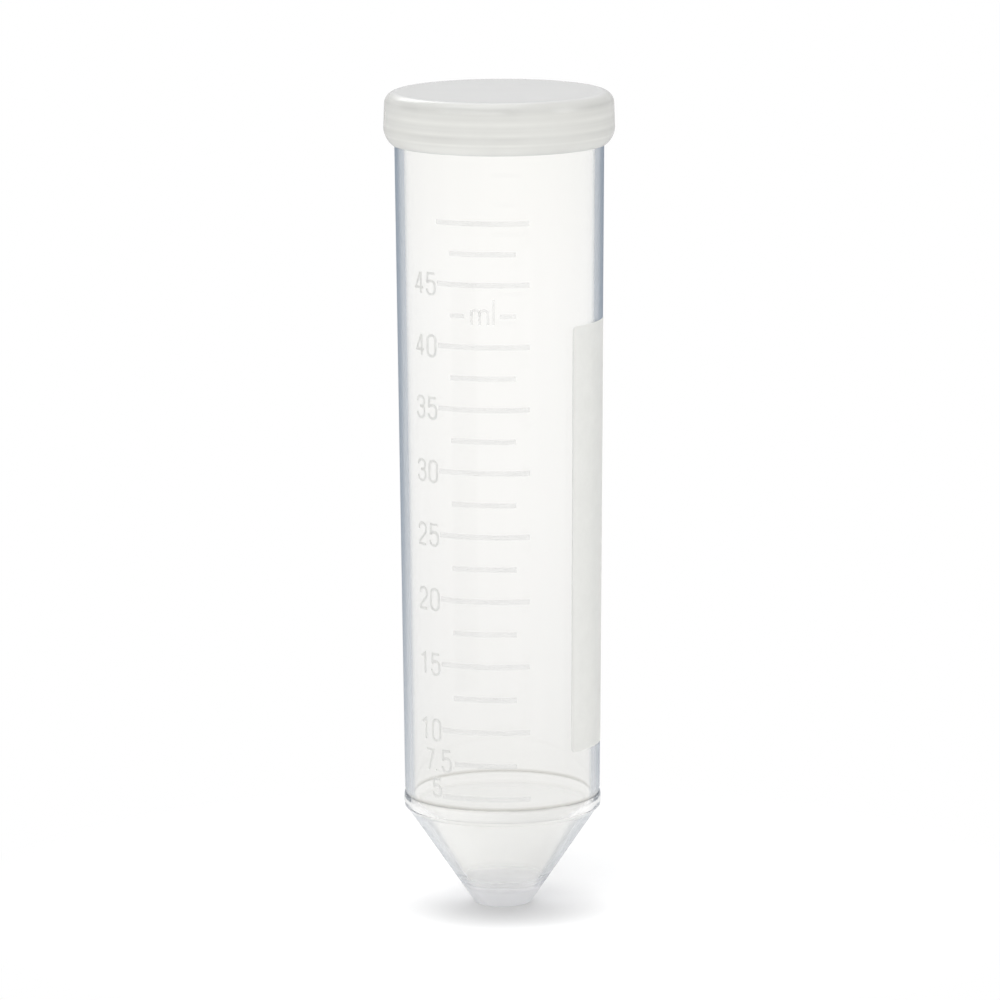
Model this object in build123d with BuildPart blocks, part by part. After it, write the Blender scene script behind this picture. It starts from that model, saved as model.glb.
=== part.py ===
from build123d import *
import os
from math import atan2, cos, radians, tan

# 50 ml conical tube closed by a press-on cap. Millimetres, +Z up. The tube stands
# on the flat of its tip, and the origin is the centre of that flat.

# Tube, outside
tube_height = 115.8  # tip flat to mouth
body_radius = 14.87  # at the mouth
body_draft = 0.54  # degrees a side, so that the moulding leaves its cavity
tip_radius = 4.0
tip_edge_round = 0.35
cone_height = 13.75
cone_step = 0.56  # how far the top of the cone is set in from the body

# Tube, collar where the cone meets the body, and the neck drawn in above it
collar_under = 0.65  # height of the slope that brings it out from the cone
collar_height = 1.8  # from that slope up
collar_proud = 0.18  # at its middle
collar_crown = 0.13  # how far its middle stands out over its edges
collar_under_round = 0.2
neck_depth = 0.13  # at the collar, below the body
neck_height = 0.9  # over which it runs out into the body

# Tube, inside
wall = 1.15
tip_floor = 2.1
floor_round = 2.0
shoulder_round = 2.5  # where the bore of the cone runs into the bore of the body
mouth_round = 0.3

# Tube, gate recess under the tip
gate_recess_radius = 1.7
gate_recess_depth = 0.45
gate_nub_radius = 0.55
gate_nub_height = 0.25

# Tube, snap ring outside the mouth
snap_ring_proud = 0.1
snap_ring_height = 1.5
snap_ring_drop = 1.9  # mouth to the middle of the ring

# Cap, shell
cap_top = 1.2
cap_wall = 1.15  # at the top of the lip, where the cap is widest
cap_draft = 2.0  # degrees a side, from there up to the roof
cap_height = 7.4
cap_shoulder_round = 1.75
lip_height = 2.3  # the lower edge curls in over this height
lip_edge = 0.12  # width of the flat that is left at its end
land_height = 0.7  # straight land inside the lip
land_slope = 0.8  # height of the slope from the land out to the skirt
groove_round = 0.25  # corners of the groove that takes the mouth

# Cap, plug ring that seals inside the mouth
plug_depth = 3.4
plug_wall = 0.9
plug_waist = 0.1  # how far its root is set in from the seal line
plug_lead_in = 0.3  # how far its end is set in from the seal line
plug_end_round = 0.25
seal_depth = 1.5  # underside of the cap to the seal line

# Fits between the cap and the tube
skirt_clearance = 0.23  # snap ring to skirt
land_clearance = 0.1  # snap ring to the land inside the lip
seal_clearance = 0.1  # seal line to bore

# Tube sizes that follow
draft_slope = tan(radians(body_draft))
collar_foot = cone_height + collar_under
collar_top = collar_foot + collar_height
foot_radius = body_radius - draft_slope * (tube_height - collar_top)
collar_radius = foot_radius + collar_proud
collar_edge_radius = collar_radius - collar_crown
neck_radius = foot_radius - neck_depth
neck_top = collar_top + neck_height
cone_top_radius = foot_radius - cone_step
cone_slope = (cone_top_radius - tip_radius) / cone_height
level_cone_wall = wall / cos(atan2(cone_top_radius - tip_radius, cone_height))

bore_floor_radius = tip_radius + cone_slope * tip_floor - level_cone_wall
bore_foot_radius = foot_radius - wall
bore_foot = (bore_foot_radius + level_cone_wall - tip_radius) / cone_slope
bore_mouth_radius = body_radius - wall

snap_ring_middle = tube_height - snap_ring_drop
snap_ring_low = snap_ring_middle - snap_ring_height / 2
snap_ring_high = snap_ring_middle + snap_ring_height / 2
snap_ring_radius = body_radius + snap_ring_proud

# Cap sizes that follow: it seats on the mouth and grips the snap ring
cap_roof = tube_height + cap_top
cap_bottom = cap_roof - cap_height
lip_top = cap_bottom + lip_height
skirt_radius = snap_ring_radius + skirt_clearance
cap_radius = skirt_radius + cap_wall
cap_roof_radius = cap_radius - tan(radians(cap_draft)) * (cap_roof - lip_top)
land_radius = snap_ring_radius + land_clearance
land_top = cap_bottom + land_height
lip_radius = land_radius + lip_edge

seal_line = tube_height - seal_depth
seal_radius = bore_mouth_radius - seal_clearance
plug_root_radius = seal_radius - plug_waist
plug_end = tube_height - plug_depth
plug_end_radius = seal_radius - plug_lead_in
plug_bore_radius = plug_end_radius - plug_wall


def body_outside(height):
    """Outside radius of the drafted body at a height."""
    return body_radius - draft_slope * (tube_height - height)


def corner(section, radius, height):
    """The vertex of a section nearest to a radius and a height."""
    return section.vertices().sort_by_distance((radius, height, 0))[0]


# The tube is one moulding: its outside, less the bore and the gate recess
with BuildPart() as tube:
    with BuildSketch(Plane.XZ) as outside:
        with BuildLine():
            Polyline(
                (0, tube_height),
                (0, 0),
                (tip_radius, 0),
                (cone_top_radius, cone_height),
                (collar_edge_radius, collar_foot),
            )
            ThreePointArc(
                (collar_edge_radius, collar_foot),
                (collar_radius, collar_foot + collar_height / 2),
                (collar_edge_radius, collar_top),
            )
            Polyline(
                (collar_edge_radius, collar_top),
                (neck_radius, collar_top),
                (body_outside(neck_top), neck_top),
                (body_outside(snap_ring_low), snap_ring_low),
            )
            ThreePointArc(
                (body_outside(snap_ring_low), snap_ring_low),
                (snap_ring_radius, snap_ring_middle),
                (body_outside(snap_ring_high), snap_ring_high),
            )
            Polyline(
                (body_outside(snap_ring_high), snap_ring_high),
                (body_radius, tube_height),
                (0, tube_height),
            )
        make_face()
        fillet(corner(outside, tip_radius, 0), tip_edge_round)
        fillet(corner(outside, collar_edge_radius, collar_foot), collar_under_round)
        fillet(corner(outside, body_radius, tube_height), mouth_round)
    revolve(axis=Axis.Z)

    with BuildSketch(Plane.XZ) as bore:
        with BuildLine():
            Polyline(
                (0, tube_height),
                (0, tip_floor),
                (bore_floor_radius, tip_floor),
                (bore_foot_radius, bore_foot),
                (bore_mouth_radius, tube_height),
                close=True,
            )
        make_face()
        fillet(corner(bore, bore_floor_radius, tip_floor), floor_round)
        fillet(corner(bore, bore_foot_radius, bore_foot), shoulder_round)
    revolve(axis=Axis.Z, mode=Mode.SUBTRACT)

    mouth = tube.faces().filter_by(Axis.Z).sort_by(Axis.Z)[-1]
    fillet(mouth.inner_wires()[0].edges(), mouth_round)

    with BuildSketch(Plane.XY):
        Circle(gate_recess_radius)
        Circle(gate_nub_radius, mode=Mode.SUBTRACT)
    extrude(amount=gate_recess_depth, mode=Mode.SUBTRACT)
    with BuildSketch(Plane.XY):
        Circle(gate_nub_radius)
    extrude(amount=gate_recess_depth - gate_nub_height, mode=Mode.SUBTRACT)

tube.part.label = "tube"


# The cap is one moulding: a shell with a curled-in lip, and a plug ring inside it
with BuildPart() as cap:
    with BuildSketch(Plane.XZ) as shell:
        with BuildLine():
            Polyline(
                (0, tube_height),
                (0, cap_roof),
                (cap_roof_radius, cap_roof),
                (cap_radius, lip_top),
            )
            TangentArc(
                (cap_radius, lip_top),
                (lip_radius, cap_bottom),
                tangent=(0, -1),
            )
            Polyline(
                (lip_radius, cap_bottom),
                (land_radius, cap_bottom),
                (land_radius, land_top),
                (skirt_radius, land_top + land_slope),
                (skirt_radius, tube_height),
                (0, tube_height),
            )
        make_face()
        fillet(corner(shell, cap_roof_radius, cap_roof), cap_shoulder_round)
        fillet(corner(shell, skirt_radius, tube_height), groove_round)
    revolve(axis=Axis.Z)

    with BuildSketch(Plane.XZ) as plug:
        with BuildLine():
            ThreePointArc(
                (plug_root_radius, tube_height),
                (seal_radius, seal_line),
                (plug_end_radius, plug_end),
            )
            Polyline(
                (plug_end_radius, plug_end),
                (plug_bore_radius, plug_end),
                (plug_bore_radius, tube_height),
                (plug_root_radius, tube_height),
            )
        make_face()
        fillet(corner(plug, plug_end_radius, plug_end), plug_end_round)
        fillet(corner(plug, plug_bore_radius, plug_end), plug_end_round)
    revolve(axis=Axis.Z)

cap.part.label = "cap"


os.makedirs("parts", exist_ok=True)
export_step(tube.part, "parts/tube.step")
export_step(cap.part, "parts/cap.step")
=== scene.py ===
from math import asin, cos, pi, radians, sin, tan

import bmesh
import bpy
from mathutils import Matrix, Vector


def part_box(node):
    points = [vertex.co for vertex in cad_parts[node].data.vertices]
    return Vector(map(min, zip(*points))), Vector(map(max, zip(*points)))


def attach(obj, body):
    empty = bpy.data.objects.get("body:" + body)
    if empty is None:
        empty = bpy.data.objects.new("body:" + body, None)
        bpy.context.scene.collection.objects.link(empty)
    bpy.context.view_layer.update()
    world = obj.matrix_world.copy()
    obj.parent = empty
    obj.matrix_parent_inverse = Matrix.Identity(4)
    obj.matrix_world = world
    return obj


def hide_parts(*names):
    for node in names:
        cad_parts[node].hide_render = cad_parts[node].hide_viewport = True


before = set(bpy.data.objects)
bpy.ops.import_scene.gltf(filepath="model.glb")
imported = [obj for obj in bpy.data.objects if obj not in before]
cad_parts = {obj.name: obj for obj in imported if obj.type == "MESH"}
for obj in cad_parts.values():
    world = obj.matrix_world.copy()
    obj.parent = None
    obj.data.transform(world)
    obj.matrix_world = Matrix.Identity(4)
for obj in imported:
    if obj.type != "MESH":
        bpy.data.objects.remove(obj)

mm = 0.001
scene = bpy.context.scene
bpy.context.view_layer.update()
tubeLow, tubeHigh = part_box("tube")
capLow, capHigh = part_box("cap")
mouthHeight = tubeHigh.z / mm  # sizes of the tube, the cap and the print are in millimetres
capRoof = capHigh.z / mm
capBottom = capLow.z / mm
print("frame loaded", round(mouthHeight, 3), round(capBottom, 3), round(capRoof, 3))


# Node helpers

white = (1.0, 1.0, 1.0)
noiseSpan = (0.3, 0.7)  # most of a noise lies between these
grainDepth = 0.0001  # metres, for every bump


def addNode(tree, kind, **values):
    # values are sockets by name with _ for a space, or settings of the node
    node = tree.nodes.new(kind)
    for name, value in values.items():
        socket = node.inputs.get(name.replace("_", " "))
        if socket is None:
            setattr(node, name, value)
        else:
            socket.default_value = value
    return node


def joinNodes(tree, *pairs):
    for source, target in pairs:
        tree.links.new(source, target)


def newMaterial(name):
    material = bpy.data.materials.new(name)
    material.use_nodes = True
    tree = material.node_tree
    tree.nodes.clear()
    return material, tree, tree.nodes.new("ShaderNodeOutputMaterial")


def colourRamp(tree, factor, stops):
    node = tree.nodes.new("ShaderNodeValToRGB")
    ramp = node.color_ramp
    while len(ramp.elements) < len(stops):
        ramp.elements.new(0.5)
    for element, (position, colour) in zip(ramp.elements, stops):
        element.position = position
        element.color = (*colour, 1.0)
    tree.links.new(factor, node.inputs["Fac"])
    return node.outputs["Color"]


def greyRamp(tree, factor, stops):
    return colourRamp(tree, factor, [(at, (grey, grey, grey)) for at, grey in stops])


def noiseRamp(tree, noise, low, high):
    return colourRamp(tree, noise.outputs["Fac"], list(zip(noiseSpan, (low, high))))


def mixColours(tree, kind, factor, first, second):
    node = tree.nodes.new("ShaderNodeMix")
    node.data_type = "RGBA"
    node.blend_type = kind
    sockets = (node.inputs["Factor"], node.inputs[6], node.inputs[7])
    for socket, value in zip(sockets, (factor, first, second)):
        if isinstance(value, bpy.types.NodeSocket):
            tree.links.new(value, socket)
        elif isinstance(value, tuple):
            socket.default_value = (*value, 1.0)
        else:
            socket.default_value = value
    return node.outputs[2]


def multiply(tree, first, second):
    return mixColours(tree, "MULTIPLY", 1.0, first, second)


def backdropRays(tree):
    # 1 for what the eye sees directly, in a gloss or through the plastic
    path = tree.nodes.new("ShaderNodeLightPath")
    first = addNode(tree, "ShaderNodeMath", operation="MAXIMUM")
    both = addNode(tree, "ShaderNodeMath", operation="MAXIMUM")
    joinNodes(
        tree,
        (path.outputs["Is Camera Ray"], first.inputs[0]),
        (path.outputs["Is Glossy Ray"], first.inputs[1]),
        (first.outputs[0], both.inputs[0]),
        (path.outputs["Is Transmission Ray"], both.inputs[1]),
    )
    return both.outputs[0]


# Studio: camera, backdrop, floor and lamps

studio = {
    # metres and degrees
    "cameraPlace": (-0.00015, -1.0024, 0.2352),
    "cameraDip": 10.0,
    "cameraRoll": -0.285,
    "lens": 257.5,
    "clip": (0.05, 60.0),
    "ambient": (0.5, 0.5, 0.5),
    "ceiling": (0.62, 0.64, 0.68),
    "horizonTop": 0.12,  # the backdrop is white up to here, and greyer towards the ceiling
    "floorSize": 24.0,
    "floorCells": 8,
    "floorColour": (0.905, 0.905, 0.905),
    "floorRoughness": 0.6,
    "fibreScale": 9.0,
    "fibreShade": 0.985,
    "floorLift": 0.1,
    "floorFade": (0.03, 0.08),  # from the tube, where the paper runs out into plain white
    # shade under the tip: how far it reaches, how it leans to the front as with a lamp
    # behind, and its tone by how open the paper lies
    "contactReach": 0.013,
    "contactLean": (0.0, 0.75, 0.66),
    "contactShade": [(0.35, 0.5), (0.7, 0.83), (0.97, 1.0)],
    "contactSamples": 12,
    # place, height it aims at, size, watts
    "lamps": {
        "frontSoftbox": ((-0.5, -1.8, 1.0), 0.06, (1.9, 1.3), 17.0),
        "overhead": ((-0.2, 0.15, 1.45), 0.0, (0.9, 0.9), 6.4),
        "backSoftbox": ((-0.45, 1.08, 0.95), 0.1, (0.55, 0.55), 3.5),
        "leftSoftbox": ((-1.3, -0.9, 0.8), 0.07, (0.7, 1.1), 4.0),
        "rightSoftbox": ((1.4, -0.5, 0.7), 0.07, (0.6, 1.0), 6.0),
    },
    "bounces": 32,  # light goes round many times inside the clear walls
}


def buildCamera():
    data = bpy.data.cameras.new("camera")
    data.lens = studio["lens"]
    data.sensor_width = 36.0
    data.clip_start, data.clip_end = studio["clip"]
    camera = bpy.data.objects.new("camera", data)
    turn = Matrix.Rotation(radians(90 - studio["cameraDip"]), 4, "X")
    turn = turn @ Matrix.Rotation(radians(studio["cameraRoll"]), 4, "Z")
    camera.matrix_world = Matrix.Translation(studio["cameraPlace"]) @ turn
    scene.collection.objects.link(camera)
    scene.camera = camera


def buildWorld():
    world = bpy.data.worlds.new("studio")
    world.use_nodes = True
    tree = world.node_tree
    tree.nodes.clear()
    out = tree.nodes.new("ShaderNodeOutputWorld")
    direction = tree.nodes.new("ShaderNodeTexCoord")
    split = tree.nodes.new("ShaderNodeSeparateXYZ")
    backdrop = addNode(tree, "ShaderNodeBackground", Strength=1.0)
    ambient = addNode(tree, "ShaderNodeBackground", Color=(*studio["ambient"], 1.0), Strength=1.0)
    blend = tree.nodes.new("ShaderNodeMixShader")
    sky = colourRamp(
        tree,
        split.outputs["Z"],
        [(0.0, white), (studio["horizonTop"], white), (1.0, studio["ceiling"])],
    )
    joinNodes(
        tree,
        (direction.outputs["Generated"], split.inputs[0]),
        (sky, backdrop.inputs["Color"]),
        (backdropRays(tree), blend.inputs[0]),
        (ambient.outputs[0], blend.inputs[1]),
        (backdrop.outputs[0], blend.inputs[2]),
        (blend.outputs[0], out.inputs["Surface"]),
    )
    scene.world = world


def buildFloor():
    bm = bmesh.new()
    cells = studio["floorCells"]
    bmesh.ops.create_grid(bm, x_segments=cells, y_segments=cells, size=studio["floorSize"] / 2)
    mesh = bpy.data.meshes.new("floor")
    bm.to_mesh(mesh)
    bm.free()
    floor = bpy.data.objects.new("floor", mesh)
    scene.collection.objects.link(floor)
    material, tree, out = newMaterial("floorPaper")
    place = tree.nodes.new("ShaderNodeTexCoord")
    noise = addNode(tree, "ShaderNodeTexNoise", Scale=studio["fibreScale"], Detail=3.0)
    paper = addNode(tree, "ShaderNodeBsdfDiffuse", Roughness=studio["floorRoughness"])
    lift = tree.nodes.new("ShaderNodeEmission")
    plain = addNode(tree, "ShaderNodeEmission", Strength=1.0)
    liftStrength = addNode(tree, "ShaderNodeMath", operation="MULTIPLY")
    liftStrength.inputs[1].default_value = studio["floorLift"]
    away = addNode(tree, "ShaderNodeVectorMath", operation="LENGTH")
    fade = addNode(
        tree,
        "ShaderNodeMapRange",
        interpolation_type="SMOOTHSTEP",
        From_Min=studio["floorFade"][0],
        From_Max=studio["floorFade"][1],
    )
    plainShare = addNode(tree, "ShaderNodeMath", operation="MULTIPLY")
    near = tree.nodes.new("ShaderNodeAddShader")
    whole = tree.nodes.new("ShaderNodeMixShader")
    seen = backdropRays(tree)
    fibres = tuple(studio["fibreShade"] * part for part in studio["floorColour"])
    colour = noiseRamp(tree, noise, fibres, studio["floorColour"])
    contact = addNode(
        tree,
        "ShaderNodeAmbientOcclusion",
        samples=studio["contactSamples"],
        Distance=studio["contactReach"],
    )
    x, y, z = studio["contactLean"]
    lean = addNode(tree, "ShaderNodeCombineXYZ", X=x, Y=y, Z=z)
    shade = greyRamp(tree, contact.outputs["AO"], studio["contactShade"])
    joinNodes(
        tree,
        (place.outputs["Object"], noise.inputs["Vector"]),
        (place.outputs["Object"], away.inputs[0]),
        (lean.outputs[0], contact.inputs["Normal"]),
        (away.outputs["Value"], fade.inputs["Value"]),
        (fade.outputs["Result"], plainShare.inputs[0]),
        (seen, plainShare.inputs[1]),
        (multiply(tree, colour, shade), paper.inputs["Color"]),
        (seen, liftStrength.inputs[0]),
        (liftStrength.outputs[0], lift.inputs["Strength"]),
        (paper.outputs[0], near.inputs[0]),
        (lift.outputs[0], near.inputs[1]),
        (plainShare.outputs[0], whole.inputs[0]),
        (near.outputs[0], whole.inputs[1]),
        (plain.outputs[0], whole.inputs[2]),
        (whole.outputs[0], out.inputs["Surface"]),
    )
    mesh.materials.append(material)


def buildLamp(name, place, aimHeight, size, watts):
    data = bpy.data.lights.new(name, "AREA")
    data.shape = "RECTANGLE"
    data.size, data.size_y = size
    data.energy = watts
    lamp = bpy.data.objects.new(name, data)
    lamp.location = place
    lamp.rotation_mode = "QUATERNION"
    lamp.rotation_quaternion = (Vector((0, 0, aimHeight)) - lamp.location).to_track_quat("-Z", "Y")
    lamp.visible_transmission = False  # no hard glints through the walls
    scene.collection.objects.link(lamp)


buildCamera()
buildWorld()
buildFloor()
for lampName, lampValues in studio["lamps"].items():
    buildLamp(lampName, *lampValues)
scene.view_settings.view_transform = "Standard"
scene.cycles.max_bounces = studio["bounces"]
scene.cycles.glossy_bounces = studio["bounces"]
scene.cycles.transmission_bounces = studio["bounces"]
scene.cycles.transparent_max_bounces = studio["bounces"]
print("studio built", len(studio["lamps"]), "lamps")


# Mesh helpers

moulding = {
    "steps": 240,  # round the axis
    "roundSteps": 8,  # along each round of a section
    "arcTrim": 0.999,  # a round just short of its whole side leaves no double corner
    "sharpAngle": 40,
    "flatWeight": 50,
}


def roundCorner(bm, corner, radius, segments):
    first, second = [(e.other_vert(corner).co - corner.co).normalized() for e in corner.link_edges]
    setback = radius * mm / tan(first.angle(second) / 2)
    bmesh.ops.bevel(
        bm,
        geom=[corner],
        offset=setback,
        offset_type="OFFSET",
        affect="VERTICES",
        segments=segments,
        profile=0.5,
        material=-1,
        clamp_overlap=False,
    )


def drawOutline(bm, corners, closed=False):
    # corners are (across, up) or (across, up, radius of the round there)
    verts = [bm.verts.new((c[0] * mm, 0, c[1] * mm)) for c in corners]
    pairs = list(zip(verts, verts[1:]))
    if closed:
        pairs.append((verts[-1], verts[0]))
    for pair in pairs:
        bm.edges.new(pair)
    return verts


def roundOutline(bm, verts, corners, segments):
    for vert, corner in zip(verts, corners):
        if len(corner) > 2:
            roundCorner(bm, vert, corner[2], segments)


def finishPiece(bm, name, materials, body):
    mesh = bpy.data.meshes.new(name)
    bm.to_mesh(mesh)
    bm.free()
    for material in materials:
        mesh.materials.append(material)
    piece = bpy.data.objects.new(name, mesh)
    scene.collection.objects.link(piece)
    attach(piece, body)
    return piece


def smoothMoulding(piece):
    # the flats keep even shading beside the rounds
    piece.data.shade_smooth()
    piece.data.set_sharp_from_angle(angle=radians(moulding["sharpAngle"]))
    weighted = piece.modifiers.new("evenShading", "WEIGHTED_NORMAL")
    weighted.keep_sharp = True
    weighted.weight = moulding["flatWeight"]


def crownCorner(radius, low, high, crown):
    # the corner that rounds into an arc from low to high, standing crown over a chord at radius
    half = (high - low) / 2
    arc = (half**2 + crown**2) / (2 * crown)
    return (radius + half * tan(asin(half / arc)), (low + high) / 2, moulding["arcTrim"] * arc)


def turnOnAxis(corners):
    # a half section from axis to axis, spun once round
    bm = bmesh.new()
    roundOutline(bm, drawOutline(bm, corners), corners, moulding["roundSteps"])
    bmesh.ops.spin(
        bm,
        geom=bm.verts[:] + bm.edges[:],
        cent=(0, 0, 0),
        axis=(0, 0, 1),
        angle=2 * pi,
        steps=moulding["steps"],
        use_merge=True,
    )
    bmesh.ops.remove_doubles(bm, verts=bm.verts, dist=1e-7)
    bmesh.ops.recalc_face_normals(bm, faces=bm.faces)
    return bm


# Tube

tube = {
    "height": mouthHeight,
    "mouthRadius": 14.87,
    "draft": tan(radians(0.54)),
    "wall": 1.15,
    "mouthRound": 0.3,
    "tipRadius": 4.0,
    "tipRound": 0.35,
    "coneHeight": 13.75,
    "coneTopRadius": 13.371,
    "collarFoot": 14.4,
    "collarTop": 16.2,
    "collarProud": 0.18,
    "collarCrown": 0.13,
    "collarUnderRound": 0.25,  # where its slope meets the cone
    "neckDepth": 0.13,
    "neckTop": 17.1,
    "ringLow": mouthHeight - 2.65,
    "ringHigh": mouthHeight - 1.15,
    "ringProud": 0.1,
    "boreFoot": 14.926,
    "boreFootRadius": 12.781,
    "boreFloor": 2.1,
    "boreFloorRadius": 4.04,
    "shoulderRound": 2.5,
    "floorRound": 2.0,
    "gateRadius": 1.7,
    "gateDepth": 0.45,
    "nubRadius": 0.55,
    "nubDepth": 0.2,
}


def bodyRadius(height):
    return tube["mouthRadius"] - tube["draft"] * (tube["height"] - height)


def markBore(bm):
    # the bore's faces take the second material
    for face in bm.faces:
        middle = face.calc_center_median()
        outward = face.normal.x * middle.x + face.normal.y * middle.y
        wallFace = outward < 0 and middle.z > tube["boreFloor"] / 2 * mm
        floorFace = face.normal.z > 0.9 and middle.z < tube["coneHeight"] * mm
        face.material_index = 1 if wallFace or floorFace else 0


def buildTube(materials):
    t = tube
    footRadius = bodyRadius(t["collarTop"])
    collarRadius = footRadius + t["collarProud"]
    collarEdge = collarRadius - t["collarCrown"]
    ringMiddle = (t["ringLow"] + t["ringHigh"]) / 2
    ringCrown = t["mouthRadius"] + t["ringProud"] - bodyRadius(ringMiddle)
    corners = [
        (0, t["nubDepth"]),
        (t["nubRadius"], t["nubDepth"]),
        (t["nubRadius"], t["gateDepth"]),
        (t["gateRadius"], t["gateDepth"]),
        (t["gateRadius"], 0),
        (t["tipRadius"], 0, t["tipRound"]),
        (t["coneTopRadius"], t["coneHeight"], t["collarUnderRound"]),
        (collarEdge, t["collarFoot"]),
        crownCorner(collarEdge, t["collarFoot"], t["collarTop"], t["collarCrown"]),
        (collarEdge, t["collarTop"]),
        (footRadius - t["neckDepth"], t["collarTop"]),
        (bodyRadius(t["neckTop"]), t["neckTop"]),
        (bodyRadius(t["ringLow"]), t["ringLow"]),
        crownCorner(bodyRadius(ringMiddle), t["ringLow"], t["ringHigh"], ringCrown),
        (bodyRadius(t["ringHigh"]), t["ringHigh"]),
        (t["mouthRadius"], t["height"], t["mouthRound"]),
        (t["mouthRadius"] - t["wall"], t["height"], t["mouthRound"]),
        (t["boreFootRadius"], t["boreFoot"], t["shoulderRound"]),
        (t["boreFloorRadius"], t["boreFloor"], t["floorRound"]),
        (0, t["boreFloor"]),
    ]
    bm = turnOnAxis(corners)
    markBore(bm)
    piece = finishPiece(bm, "tubeBody", materials, "tube")
    smoothMoulding(piece)
    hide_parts("tube")
    return piece


clear = {
    # tint by share of the height: what is seen through the tube takes it at four faces. The slight
    # warm tint is the plastic's own, and its darkening towards the foot is painted shade
    "tint": [
        (0.0, (0.930, 0.929, 0.914)),
        (0.14, (0.926, 0.924, 0.911)),
        (0.245, (0.950, 0.948, 0.938)),
        (0.37, (0.966, 0.963, 0.953)),
        (0.5, (0.980, 0.977, 0.966)),
        (0.78, (0.995, 0.992, 0.980)),
        (0.9, (0.988, 0.985, 0.970)),
    ],
    # painted shade: how much of the wall turns to a flat dark colour where it is seen along its
    # surface
    "outsideEdge": [
        (0.0, 0.0),
        (0.48, 0.02),
        (0.53, 0.06),
        (0.557, 0.16),
        (0.577, 0.34),
        (0.6, 0.56),
        (0.62, 0.65),
        (0.675, 0.72),
        (0.74, 0.88),
        (0.8, 0.97),
        (1.0, 1.0),
    ],
    # the bore's painted edge shade is faint
    "boreEdge": [(0.0, 0.0), (0.5, 0.04), (1.0, 0.16)],
    "edgeShadeColour": (0.298, 0.345, 0.405),
    # the painted dark edge by share of the height: faint at the collar, full under the cap
    "edgeShare": [
        (0.0, 0.40),
        (0.118, 0.42),
        (0.124, 0.15),
        (0.139, 0.15),
        (0.146, 0.55),
        (0.17, 0.64),
        (0.27, 0.76),
        (0.5, 0.93),
        (0.9, 1.0),
    ],
    # painted shade by height: the step over the collar is painted dark, and the collar's lower edge
    # faintly
    "crease": [
        (14.34, 0.0),
        (14.42, 0.2),
        (14.52, 0.2),
        (14.6, 0.0),
        (16.12, 0.0),
        (16.18, 1.0),
        (16.3, 1.0),
        (16.36, 0.0),
    ],
    "creaseShadeColour": (0.5, 0.48, 0.44),
    "tipCloud": 0.8,  # how cloudy the thick tip is
    "tipGlow": 0.5,
    "tipCloudTop": 4.0,
    "boreCloudTop": 5.2,
    "tipOutside": (0.91, 0.91, 0.915),
    # painted light: the bore's tip cloud is paler than the outside's, to make up for the light that
    # the walls hold back
    "tipInsidePaintedLight": (0.99, 0.99, 0.99),
    "shadowTint": (0.78, 0.78, 0.79),
    "ior": 1.49,
    "roughness": 0.015,
    "streakScale": 420.0,
    "streakStretch": 0.06,  # the streaks run up the wall
    "streakTint": (0.99, 0.99, 0.99),
    "streakBump": 0.04,
}


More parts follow.
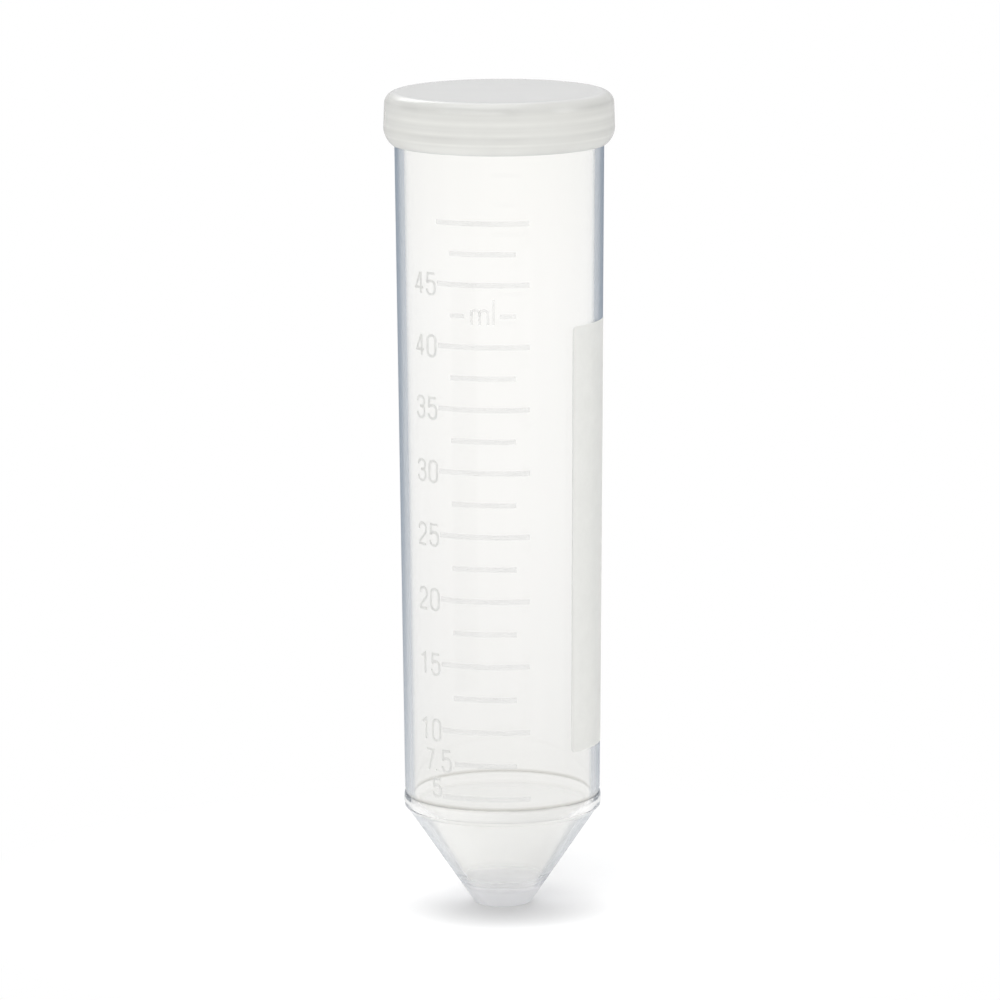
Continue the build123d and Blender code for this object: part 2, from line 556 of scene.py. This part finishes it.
def clearPlastic(name, edgeStops, creaseShadeColour, tipColour, cloudTop):
    material, tree, out = newMaterial(name)
    place = tree.nodes.new("ShaderNodeTexCoord")
    split = tree.nodes.new("ShaderNodeSeparateXYZ")
    streakSpace = addNode(tree, "ShaderNodeMapping", Scale=(1.0, 1.0, clear["streakStretch"]))
    streaks = addNode(
        tree,
        "ShaderNodeTexNoise",
        Scale=clear["streakScale"],
        Detail=3.0,
        Roughness=0.6,
    )
    bump = addNode(tree, "ShaderNodeBump", Strength=clear["streakBump"], Distance=grainDepth)
    facing = addNode(tree, "ShaderNodeLayerWeight", Blend=0.5)
    plastic = addNode(
        tree,
        "ShaderNodeBsdfPrincipled",
        Roughness=clear["roughness"],
        IOR=clear["ior"],
        Transmission_Weight=1.0,
    )
    # painted shade: a flat bluish grey mixed in where the wall is seen along its surface
    paintedEdgeShade = addNode(tree, "ShaderNodeBsdfDiffuse", Color=(*clear["edgeShadeColour"], 1.0))
    cloud = addNode(tree, "ShaderNodeBsdfDiffuse", Color=(*tipColour, 1.0))
    glow = addNode(tree, "ShaderNodeBsdfTranslucent", Color=(*tipColour, 1.0))
    tip = addNode(tree, "ShaderNodeMixShader", Fac=clear["tipGlow"])
    path = tree.nodes.new("ShaderNodeLightPath")
    through = addNode(tree, "ShaderNodeBsdfTransparent", Color=(*clear["shadowTint"], 1.0))
    wall = tree.nodes.new("ShaderNodeMixShader")
    clouded = tree.nodes.new("ShaderNodeMixShader")
    blend = tree.nodes.new("ShaderNodeMixShader")
    height = addNode(tree, "ShaderNodeMapRange", From_Max=mouthHeight * mm)
    haze = addNode(
        tree,
        "ShaderNodeMapRange",
        interpolation_type="SMOOTHSTEP",
        From_Min=cloudTop / 2 * mm,
        From_Max=cloudTop * mm,
        To_Min=clear["tipCloud"],
        To_Max=0.0,
    )
    joinNodes(
        tree,
        (place.outputs["Object"], split.inputs[0]),
        (split.outputs["Z"], height.inputs["Value"]),
        (split.outputs["Z"], haze.inputs["Value"]),
        (place.outputs["Object"], streakSpace.inputs["Vector"]),
        (streakSpace.outputs["Vector"], streaks.inputs["Vector"]),
        (streaks.outputs["Fac"], bump.inputs["Height"]),
        (bump.outputs["Normal"], plastic.inputs["Normal"]),
    )
    # the plastic's tint, with painted shade darker towards the foot
    body = colourRamp(tree, height.outputs["Result"], clear["tint"])
    streaked = noiseRamp(tree, streaks, clear["streakTint"], white)
    edge = greyRamp(tree, facing.outputs["Facing"], edgeStops)
    share = greyRamp(tree, height.outputs["Result"], clear["edgeShare"])
    # painted shade: dark lines round the collar, by height
    creaseShadeStops = [
        (z / mouthHeight, [1.0 - dark * (1.0 - part) for part in creaseShadeColour])
        for z, dark in clear["crease"]
    ]
    line = colourRamp(tree, height.outputs["Result"], creaseShadeStops)
    tintWithPaintedShade = multiply(tree, multiply(tree, body, streaked), line)
    joinNodes(
        tree,
        (tintWithPaintedShade, plastic.inputs["Base Color"]),
        (multiply(tree, edge, share), wall.inputs[0]),
        (plastic.outputs[0], wall.inputs[1]),
        (paintedEdgeShade.outputs[0], wall.inputs[2]),
        (cloud.outputs[0], tip.inputs[1]),
        (glow.outputs[0], tip.inputs[2]),
        (haze.outputs["Result"], clouded.inputs[0]),
        (wall.outputs[0], clouded.inputs[1]),
        (tip.outputs[0], clouded.inputs[2]),
        (path.outputs["Is Shadow Ray"], blend.inputs[0]),
        (clouded.outputs[0], blend.inputs[1]),
        (through.outputs[0], blend.inputs[2]),
        (blend.outputs[0], out.inputs["Surface"]),
    )
    return material


clearOutside = clearPlastic(
    "clearOutside",
    clear["outsideEdge"],
    clear["creaseShadeColour"],
    clear["tipOutside"],
    clear["tipCloudTop"],
)
clearBore = clearPlastic(
    "clearBore",
    clear["boreEdge"],
    white,
    clear["tipInsidePaintedLight"],
    clear["boreCloudTop"],
)
tubePiece = buildTube([clearOutside, clearBore])
print("tube built", len(tubePiece.data.polygons), "faces")


# Cap

cap = {
    "roof": capRoof,
    "bottom": capBottom,
    "radius": 16.35,
    "draft": tan(radians(2.0)),
    "shoulderRound": 1.75,
    "lipTop": 111.9,
    "lipRadius": 15.19,
    "landRadius": 15.07,
    "landTop": 110.3,
    "skirtFoot": 111.1,
    "skirtRadius": 15.2,
    "grooveRound": 0.25,
    "seat": mouthHeight,
    "plugRootRadius": 13.52,
    "sealCorner": (13.806, 114.077, 7.686),  # it rounds into the plug ring's seal line
    "plugEnd": 112.4,
    "plugEndRadius": 13.32,
    "plugBoreRadius": 12.42,
    "plugEndRound": 0.25,
}


def buildCap(material):
    c = cap
    roofRadius = c["radius"] - c["draft"] * (c["roof"] - c["lipTop"])
    curl = c["radius"] - c["lipRadius"]
    drop = c["lipTop"] - c["bottom"]
    lipRound = (drop**2 + curl**2) / (2 * curl)
    lipCorner = c["lipTop"] - lipRound * tan(asin(drop / lipRound) / 2)
    corners = [
        (0, c["roof"]),
        (roofRadius, c["roof"], c["shoulderRound"]),
        (c["radius"], c["lipTop"]),
        (c["radius"], lipCorner, moulding["arcTrim"] * lipRound),
        (c["lipRadius"], c["bottom"]),
        (c["landRadius"], c["bottom"]),
        (c["landRadius"], c["landTop"]),
        (c["skirtRadius"], c["skirtFoot"]),
        (c["skirtRadius"], c["seat"], c["grooveRound"]),
        (c["plugRootRadius"], c["seat"]),
        c["sealCorner"],
        (c["plugEndRadius"], c["plugEnd"]),
        (c["plugBoreRadius"], c["plugEnd"], c["plugEndRound"]),
        (c["plugBoreRadius"], c["seat"]),
        (0, c["seat"]),
    ]
    piece = finishPiece(turnOnAxis(corners), "capShell", [material], "cap")
    smoothMoulding(piece)
    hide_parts("cap")
    return piece


milky = {
    "colour": (0.90, 0.90, 0.895),
    "shade": (0.88, 0.88, 0.875),
    "glow": 0.18,  # how much of the cloud lights up from behind
    "gloss": 0.22,
    "glossTint": (0.6, 0.6, 0.6),
    "clearTint": (0.965, 0.965, 0.95),
    "roughness": 0.15,
    "ior": 1.5,
    "cloud": 0.88,  # how much of each surface is cloudy rather than clear
    "shadowTint": (0.84, 0.84, 0.83),
    # painted light and shade: what is inside shows through its side as faint level stripes, painted
    # by height, the darkest under the shoulder: height, share of the light
    "paintedBands": [
        (110.2, 1.0),
        (110.55, 0.965),
        (110.85, 0.92),
        (111.15, 1.0),
        (111.4, 0.89),
        (111.7, 0.87),
        (112.1, 0.82),
        (112.55, 0.975),
        (113.05, 0.89),
        (113.3, 0.91),
        (113.55, 0.88),
        (114.1, 0.985),
        (114.7, 0.875),
        (115.15, 0.89),
        (115.85, 0.76),
        (116.3, 0.87),
        (116.8, 0.94),
    ],
    "bandTint": (1.0, 1.0, 0.972),
    "bandFade": (0.915, 0.915, 0.89),  # what they fade into here and there
    "driftScale": 95.0,
    "driftSpan": (0.35, 0.6),  # they fade from here in the noise
    "driftShare": (0.65, 0.0),
    "roofEdge": (0.97, 0.995),  # share of the height where the side gives way to the roof
    "roughDiffuse": 0.3,
    "cloudScale": 160.0,
    "grainScale": 2600.0,
    "grainBump": 0.15,
}


def milkyPlastic():
    material, tree, out = newMaterial("milkyPlastic")
    place = tree.nodes.new("ShaderNodeTexCoord")
    clouds = addNode(
        tree,
        "ShaderNodeTexNoise",
        Scale=milky["cloudScale"],
        Detail=4.0,
        Roughness=0.55,
    )
    grain = addNode(tree, "ShaderNodeTexNoise", Scale=milky["grainScale"], Detail=2.0)
    bump = addNode(tree, "ShaderNodeBump", Strength=milky["grainBump"], Distance=grainDepth)
    plastic = addNode(
        tree,
        "ShaderNodeBsdfPrincipled",
        Base_Color=(*milky["clearTint"], 1.0),
        Roughness=milky["roughness"],
        IOR=milky["ior"],
        Transmission_Weight=1.0,
    )
    cloud = addNode(tree, "ShaderNodeBsdfDiffuse", Roughness=milky["roughDiffuse"])
    glow = tree.nodes.new("ShaderNodeBsdfTranslucent")
    body = addNode(tree, "ShaderNodeMixShader", Fac=milky["glow"])
    wall = addNode(tree, "ShaderNodeMixShader", Fac=milky["cloud"])
    path = tree.nodes.new("ShaderNodeLightPath")
    through = addNode(tree, "ShaderNodeBsdfTransparent", Color=(*milky["shadowTint"], 1.0))
    blend = tree.nodes.new("ShaderNodeMixShader")
    sheen = addNode(
        tree,
        "ShaderNodeBsdfGlossy",
        Color=(*milky["glossTint"], 1.0),
        Roughness=milky["gloss"],
    )
    glare = addNode(tree, "ShaderNodeFresnel", IOR=milky["ior"])
    glossed = tree.nodes.new("ShaderNodeMixShader")
    split = tree.nodes.new("ShaderNodeSeparateXYZ")
    height = addNode(tree, "ShaderNodeMapRange", From_Min=capBottom * mm, From_Max=capRoof * mm)
    stops = [
        ((z - capBottom) / (capRoof - capBottom), tuple(share * tint for tint in milky["bandTint"]))
        for z, share in milky["paintedBands"]
    ]
    drift = addNode(tree, "ShaderNodeTexNoise", Scale=milky["driftScale"], Detail=2.0)
    fade = addNode(
        tree,
        "ShaderNodeMapRange",
        From_Min=milky["driftSpan"][0],
        From_Max=milky["driftSpan"][1],
        To_Min=milky["driftShare"][0],
        To_Max=milky["driftShare"][1],
    )
    # painted level stripes, faded here and there by noise and left off the roof
    paintedBands = colourRamp(tree, height.outputs["Result"], stops)
    faded = mixColours(tree, "MIX", fade.outputs["Result"], paintedBands, milky["bandFade"])
    onRoof = greyRamp(tree, height.outputs["Result"], list(zip(milky["roofEdge"], (0.0, 1.0))))
    sides = mixColours(tree, "MIX", onRoof, faded, white)
    cloudy = noiseRamp(tree, clouds, milky["shade"], milky["colour"])
    colour = multiply(tree, cloudy, sides)
    joinNodes(
        tree,
        (place.outputs["Object"], split.inputs[0]),
        (split.outputs["Z"], height.inputs["Value"]),
        (place.outputs["Object"], clouds.inputs["Vector"]),
        (place.outputs["Object"], drift.inputs["Vector"]),
        (drift.outputs["Fac"], fade.inputs["Value"]),
        (place.outputs["Object"], grain.inputs["Vector"]),
        (grain.outputs["Fac"], bump.inputs["Height"]),
        (bump.outputs["Normal"], plastic.inputs["Normal"]),
        (colour, cloud.inputs["Color"]),
        (colour, glow.inputs["Color"]),
        (cloud.outputs[0], body.inputs[1]),
        (glow.outputs[0], body.inputs[2]),
        (plastic.outputs[0], wall.inputs[1]),
        (body.outputs[0], glossed.inputs[1]),
        (sheen.outputs[0], glossed.inputs[2]),
        (glare.outputs[0], glossed.inputs[0]),
        (glossed.outputs[0], wall.inputs[2]),
        (path.outputs["Is Shadow Ray"], blend.inputs[0]),
        (wall.outputs[0], blend.inputs[1]),
        (through.outputs[0], blend.inputs[2]),
        (blend.outputs[0], out.inputs["Surface"]),
    )
    return material


capPiece = buildCap(milkyPlastic())
print("cap built", len(capPiece.data.polygons), "faces")


# Print on the tube. It is drawn flat, x along the surface and z up, then laid round the body.

printing = {
    "lift": 0.012,  # clear of the tube's surface
    "thickness": 0.03,
    "wrapRadius": 14.4,  # one degree of print is the same width at every height
    "pitch": 0.4,  # columns for the curve
    "roundSteps": 6,
    "lineHeight": 0.72,
    "majorLine": (-9.3, 4.1),
    "minorLine": (-7.25, 2.15),
    "firstVolume": 5.0,
    "volumeStep": 2.5,
    "majorStep": 5.0,
    "lastVolume": 50.0,
    "unitVolume": 42.5,  # its mark is broken by the unit
    "dash": (2.2, 0.6),
    "volumeUnderBody": 3.105,  # millilitres below the foot of the straight bore
    "markDrop": 0.77,  # a mark sits this far under its level
    "digitSize": (1.85, 3.35),
    "digitGap": 0.45,
    "stroke": 0.38,
    "numberRight": -9.5,
    "numberDrop": 0.2,
}


def markHeight(volume):
    # the drafted bore is part of a long cone, so its volume goes with the cube of its radius
    rise = tube["height"] - tube["boreFoot"]
    slope = (tube["mouthRadius"] - tube["wall"] - tube["boreFootRadius"]) / rise
    cubic = (volume - printing["volumeUnderBody"]) * 1000 * 3 * slope / pi
    radius = (tube["boreFootRadius"] ** 3 + cubic) ** (1 / 3)
    return tube["boreFoot"] + (radius - tube["boreFootRadius"]) / slope - printing["markDrop"]


def addLine(bm, left, right, height, tall):
    columns = max(1, round((right - left) / printing["pitch"]))
    place = Matrix.Translation(((left + right) / 2 * mm, 0, height * mm))
    place = place @ Matrix.Rotation(pi / 2, 4, "X")
    place = place @ Matrix.Diagonal(((right - left) / 2 * mm, tall / 2 * mm, 1, 1))
    bmesh.ops.create_grid(bm, x_segments=columns, y_segments=1, size=1, matrix=place)


# Each stroke is a line of (across, up, round) in a letter 1 wide and 1 high, round in mm
strokes = {
    "0": [[(0, 0, 0.7), (1, 0, 0.7), (1, 1, 0.7), (0, 1, 0.7)]],
    "1": [[(0.1, 0.82), (0.62, 0.99), (0.62, 0)]],
    "2": [[(0, 0.72), (0, 1, 0.7), (1, 1, 0.7), (1, 0.6, 0.6), (0, 0.1, 0.3), (0, 0), (1, 0)]],
    "3": [
        [(0, 0.76), (0, 1, 0.7), (1, 1, 0.65), (1, 0.54, 0.55), (0.4, 0.54)],
        [(0.4, 0.54), (1.02, 0.54, 0.65), (1.02, 0, 0.7), (0, 0, 0.7), (0, 0.27)],
    ],
    "4": [[(0.74, 0), (0.74, 1)], [(0.68, 0.99), (0, 0.27), (1.08, 0.27)]],
    "5": [
        [
            (0.95, 1),
            (0.12, 1),
            (0.04, 0.52, 0.1),
            (0.3, 0.64, 0.4),
            (1, 0.64, 0.65),
            (1, 0, 0.7),
            (0, 0, 0.7),
            (0, 0.26),
        ],
    ],
    "7": [[(0, 1), (1, 1), (0.35, 0)]],
    ".": [[(0.5, -0.02), (0.5, 0.08)]],
    "m": [
        [(0, 0), (0, 1)],
        [(0, 0.6), (0, 1, 0.5), (0.5, 1, 0.5), (0.5, 0)],
        [(0.5, 0.6), (0.5, 1, 0.5), (1, 1, 0.5), (1, 0)],
    ],
    "l": [[(0, 0), (0, 1)]],
}


def addGlyph(bm, sign, left, foot, wide, high):
    # ribbons on edge along the middle of each stroke: Solidify gives them the pen's width
    half = printing["stroke"] / 2
    for line in strokes[sign]:
        glyph = bmesh.new()
        corners = [
            (left + half + c[0] * (wide - 2 * half), foot + half + c[1] * (high - 2 * half), *c[2:])
            for c in line
        ]
        verts = drawOutline(glyph, corners, closed=sign == "0")
        roundOutline(glyph, verts, corners, printing["roundSteps"])
        made = bmesh.ops.extrude_edge_only(glyph, edges=glyph.edges[:])["geom"]
        depth = [g for g in made if isinstance(g, bmesh.types.BMVert)]
        bmesh.ops.translate(glyph, verts=depth, vec=(0, printing["thickness"] * mm, 0))
        mesh = bpy.data.meshes.new("stroke")
        glyph.to_mesh(mesh)
        glyph.free()
        bm.from_mesh(mesh)
        bpy.data.meshes.remove(mesh)


def layRoundBody(bm, thickness):
    for vert in bm.verts:
        angle = vert.co.x / (printing["wrapRadius"] * mm)
        out = bodyRadius(vert.co.z / mm) * mm + printing["lift"] * mm + thickness(vert.co.y)
        vert.co = (out * sin(angle), -out * cos(angle), vert.co.z)


def cutColumns(bm, left, right):
    place = left
    while place < right:
        bmesh.ops.bisect_plane(
            bm,
            geom=bm.verts[:] + bm.edges[:] + bm.faces[:],
            dist=1e-8,
            plane_co=(place * mm, 0, 0),
            plane_no=(1, 0, 0),
        )
        place += printing["pitch"]


def thickenPrint(bm):
    # flat print gets its thickness, then goes round the body
    bmesh.ops.solidify(bm, geom=bm.faces[:], thickness=printing["thickness"] * mm)
    low = min(v.co.y for v in bm.verts)
    layRoundBody(bm, lambda y: y - low)
    bmesh.ops.recalc_face_normals(bm, faces=bm.faces)


def buildGraduations(material):
    bm = bmesh.new()
    volume = printing["firstVolume"]
    while volume <= printing["lastVolume"]:
        height = markHeight(volume)
        major = volume % printing["majorStep"] == 0
        left, right = printing["majorLine"] if major else printing["minorLine"]
        if volume == printing["unitVolume"]:
            long, tall = printing["dash"]
            addLine(bm, left, left + long, height, tall)
            addLine(bm, right - long, right, height, tall)
        else:
            addLine(bm, left, right, height, printing["lineHeight"])
        volume += printing["volumeStep"]
    thickenPrint(bm)
    return finishPiece(bm, "graduations", [material], "tube")


def finishLetters(bm, name, material):
    cutColumns(bm, -printing["wrapRadius"], 0)
    layRoundBody(bm, lambda y: y)
    bmesh.ops.recalc_face_normals(bm, faces=bm.faces)
    piece = finishPiece(bm, name, [material], "tube")
    pen = piece.modifiers.new("penWidth", "SOLIDIFY")
    pen.thickness = printing["stroke"] * mm
    pen.offset = 0
    pen.use_even_offset = True
    return piece


numbers = {
    "twoDigits": (45, 40, 35, 30, 25, 20, 15, 10),
    "sevenLeft": -12.7,
    "pointLeft": -10.85,
    "pointWidth": 0.7,
    "halfRight": -7.7,
    "sevenAndHalf": 0.25,  # its middle over its mark
    "five": (1.1, 2.9),  # middle over its mark, and height
}


def buildNumbers(material):
    bm = bmesh.new()
    wide, high = printing["digitSize"]
    right = printing["numberRight"]
    for volume in numbers["twoDigits"]:
        foot = markHeight(volume) - high / 2 - printing["numberDrop"]
        addGlyph(bm, str(volume)[0], right - 2 * wide - printing["digitGap"], foot, wide, high)
        addGlyph(bm, str(volume)[1], right - wide, foot, wide, high)
    foot = markHeight(7.5) - high / 2 + numbers["sevenAndHalf"]
    addGlyph(bm, "7", numbers["sevenLeft"], foot, wide, high)
    addGlyph(bm, ".", numbers["pointLeft"], foot, numbers["pointWidth"], high)
    addGlyph(bm, "5", numbers["halfRight"] - wide, foot, wide, high)
    over, tall = numbers["five"]
    addGlyph(bm, "5", right - wide, markHeight(5) - tall / 2 + over, wide, tall)
    return finishLetters(bm, "numbers", material)


unit = {
    "foot": 1.35,  # under its mark
    "m": (-4.2, 2.7, 2.4),  # left, width, height
    "l": (-1.1, 0.38, 3.9),
}


def buildUnit(material):
    bm = bmesh.new()
    foot = markHeight(printing["unitVolume"]) - unit["foot"]
    for sign in "ml":
        left, wide, high = unit[sign]
        addGlyph(bm, sign, left, foot, wide, high)
    return finishLetters(bm, "unitMark", material)


patch = {
    "left": 11.1,
    "right": 22.9,
    "foot": 23.75,
    "top": 84.9,
    "cornerRound": 0.8,
    "border": 0.22,  # a darker line down its left side
}


def buildPatch(materials):
    p = patch
    bm = bmesh.new()
    corners = [
        (p["left"], p["foot"], p["cornerRound"]),
        (p["right"], p["foot"], p["cornerRound"]),
        (p["right"], p["top"], p["cornerRound"]),
        (p["left"], p["top"], p["cornerRound"]),
    ]
    roundOutline(bm, drawOutline(bm, corners, closed=True), corners, printing["roundSteps"])
    bmesh.ops.contextual_create(bm, geom=bm.edges[:])
    cutColumns(bm, p["left"] + p["border"], p["right"])
    thickenPrint(bm)
    edge = radians(90) - (p["left"] + p["border"]) / printing["wrapRadius"]
    for face in bm.faces:
        middle = face.calc_center_median()
        face.material_index = 1 if middle.x < -middle.y / tan(edge) else 0
    return finishPiece(bm, "writingPatch", materials, "tube")


inks = {
    # colours where it lies thick and thin, least and most cover, roughness
    "digitInk": ((0.88, 0.88, 0.86), (0.85, 0.85, 0.835), (0.84, 0.94), 0.45),
    "lineInk": ((0.83, 0.83, 0.82), (0.79, 0.79, 0.78), (0.16, 0.23), 0.45),
    "whiteInk": ((0.96, 0.96, 0.935), (0.945, 0.945, 0.92), (0.69, 0.73), 0.5),
    "glow": 0.4,  # how much light comes through the film
    "patchScale": 260.0,
    "speckleScale": 1900.0,
    "speckleBump": 0.2,
}


def inkMaterial(name):
    # thin ink: its cover and its tone both vary a little
    light, dark, cover, roughness = inks[name]
    material, tree, out = newMaterial(name)
    place = tree.nodes.new("ShaderNodeTexCoord")
    patches = addNode(tree, "ShaderNodeTexNoise", Scale=inks["patchScale"], Detail=3.0)
    speckle = addNode(tree, "ShaderNodeTexNoise", Scale=inks["speckleScale"], Detail=2.0)
    bump = addNode(tree, "ShaderNodeBump", Strength=inks["speckleBump"], Distance=grainDepth)
    ink = addNode(tree, "ShaderNodeBsdfPrincipled", Roughness=roughness)
    glow = tree.nodes.new("ShaderNodeBsdfTranslucent")
    film = addNode(tree, "ShaderNodeMixShader", Fac=inks["glow"])
    through = addNode(tree, "ShaderNodeBsdfTransparent")
    share = addNode(
        tree,
        "ShaderNodeMapRange",
        From_Min=noiseSpan[0],
        From_Max=noiseSpan[1],
        To_Min=cover[0],
        To_Max=cover[1],
    )
    blend = tree.nodes.new("ShaderNodeMixShader")
    colour = noiseRamp(tree, speckle, dark, light)
    joinNodes(
        tree,
        (place.outputs["Object"], patches.inputs["Vector"]),
        (place.outputs["Object"], speckle.inputs["Vector"]),
        (speckle.outputs["Fac"], bump.inputs["Height"]),
        (bump.outputs["Normal"], ink.inputs["Normal"]),
        (patches.outputs["Fac"], share.inputs["Value"]),
        (colour, ink.inputs["Base Color"]),
        (colour, glow.inputs["Color"]),
        (ink.outputs[0], film.inputs[1]),
        (glow.outputs[0], film.inputs[2]),
        (share.outputs["Result"], blend.inputs[0]),
        (through.outputs[0], blend.inputs[1]),
        (film.outputs[0], blend.inputs[2]),
        (blend.outputs[0], out.inputs["Surface"]),
    )
    return material


digitInk = inkMaterial("digitInk")
lineInk = inkMaterial("lineInk")
whiteInk = inkMaterial("whiteInk")
prints = [
    buildGraduations(lineInk),
    buildNumbers(digitInk),
    buildUnit(lineInk),
    buildPatch([whiteInk, digitInk]),
]
for piece in prints:
    print("print laid on:", piece.name, len(piece.data.polygons), "faces")
